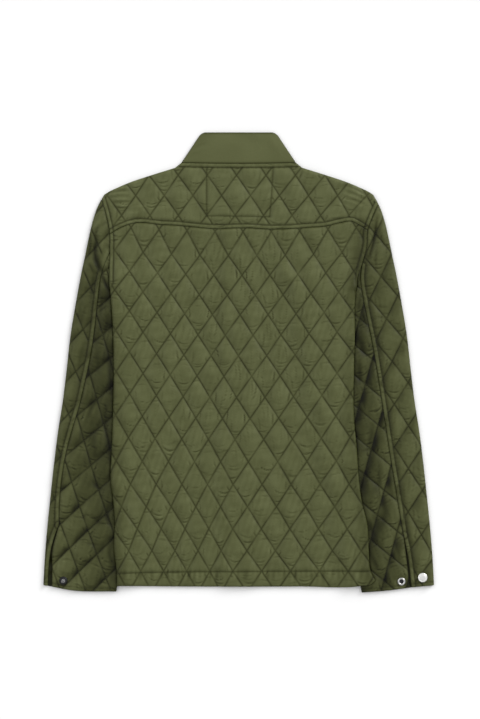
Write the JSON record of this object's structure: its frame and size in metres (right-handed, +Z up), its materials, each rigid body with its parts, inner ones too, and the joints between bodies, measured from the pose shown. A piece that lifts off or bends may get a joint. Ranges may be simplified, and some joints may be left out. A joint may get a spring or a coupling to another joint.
{
  "type": "quilted jacket",
  "caption": "Olive quilted jacket with a plain stand collar, back yoke and snapped cuff vents, laid flat with its back up.",
  "frame": {"origin": "centre of the jacket's outline, on the surface that it lies on", "axes": "+Z up from the surface, +Y from the hem to the collar, +X to the right as the back is seen, which is the wearer's right"},
  "size_m": [0.656, 0.7723, 0.0126],
  "materials": {
    "quilted_cloth": "smooth nylon-like quilted cloth, soft sheen",
    "collar_cloth": "smooth nylon-like cloth, soft sheen",
    "dark_snap": "satin black",
    "silver_snap": "satin"
  },
  "bodies": {
    "root": {"back": "quilted_cloth", "yoke": "quilted_cloth", "front_left": "quilted_cloth", "front_right": "quilted_cloth", "top_sleeve_left": "quilted_cloth", "top_sleeve_right": "quilted_cloth", "under_sleeve_left": "quilted_cloth", "under_sleeve_right": "quilted_cloth", "collar": "collar_cloth", "snap_socket_left": "dark_snap", "snap_socket_right": "silver_snap", "snap_cap_right": "silver_snap", "snap_cap_left": "silver_snap"}
  },
  "joints": []
}
